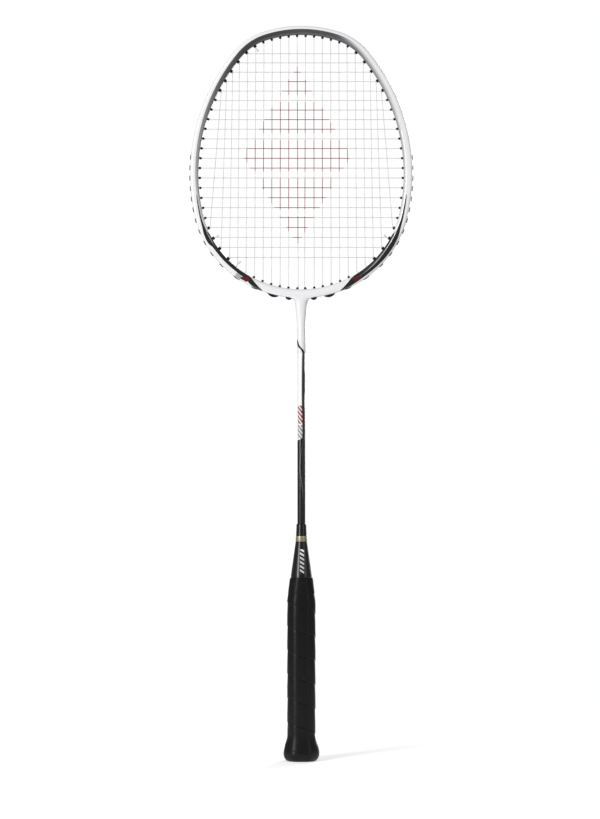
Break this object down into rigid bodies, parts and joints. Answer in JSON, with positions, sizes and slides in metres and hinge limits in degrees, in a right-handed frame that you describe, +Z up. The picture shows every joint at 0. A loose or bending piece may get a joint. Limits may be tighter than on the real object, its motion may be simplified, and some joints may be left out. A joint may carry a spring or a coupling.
{
  "type": "badminton racket",
  "caption": "Strung badminton racket with a rounded white and grey head, slim shaft, tapered cone and octagonal wrapped grip, for hitting a shuttlecock.",
  "frame": {"origin": "middle of the flat butt cap under the grip", "axes": "+Z up the shaft from the butt to the head's tip, +X across the head, +Y out of the string bed's back face"},
  "size_m": [0.2058, 0.0304, 0.675],
  "materials": {
    "frame_white": "gloss",
    "shaft_paint": "gloss",
    "string": "satin",
    "grommet": "satin",
    "cone_black": "gloss",
    "band": "satin",
    "grip": "matte",
    "finish_tape": "satin",
    "butt_cap": "satin",
    "wood": "satin",
    "insert": "satin",
    "steel": "satin"
  },
  "bodies": {
    "root": {"head_frame": "frame_white", "throat_sleeve": "frame_white", "shaft": "shaft_paint", "main_string": "string", "cross_string": "string", "grommets_top": "grommet", "grommets_shoulder_left": "grommet", "grommets_shoulder_right": "grommet", "grommets_side_left": "grommet", "grommets_side_right": "grommet", "grommets_lower_left": "grommet", "grommets_lower_right": "grommet", "grommets_corner_left": "grommet", "grommets_corner_right": "grommet", "corner_strip_left": "grommet", "corner_strip_right": "grommet", "throat_strip_left": "grommet", "throat_strip_right": "grommet", "handle_cone": "cone_black", "cone_band": "band", "grip_wrap": "grip", "grip_finish_tape": "finish_tape", "butt_cap": "butt_cap", "handle_core": "wood", "t_joint": "insert", "butt_staple": "steel"}
  },
  "joints": []
}
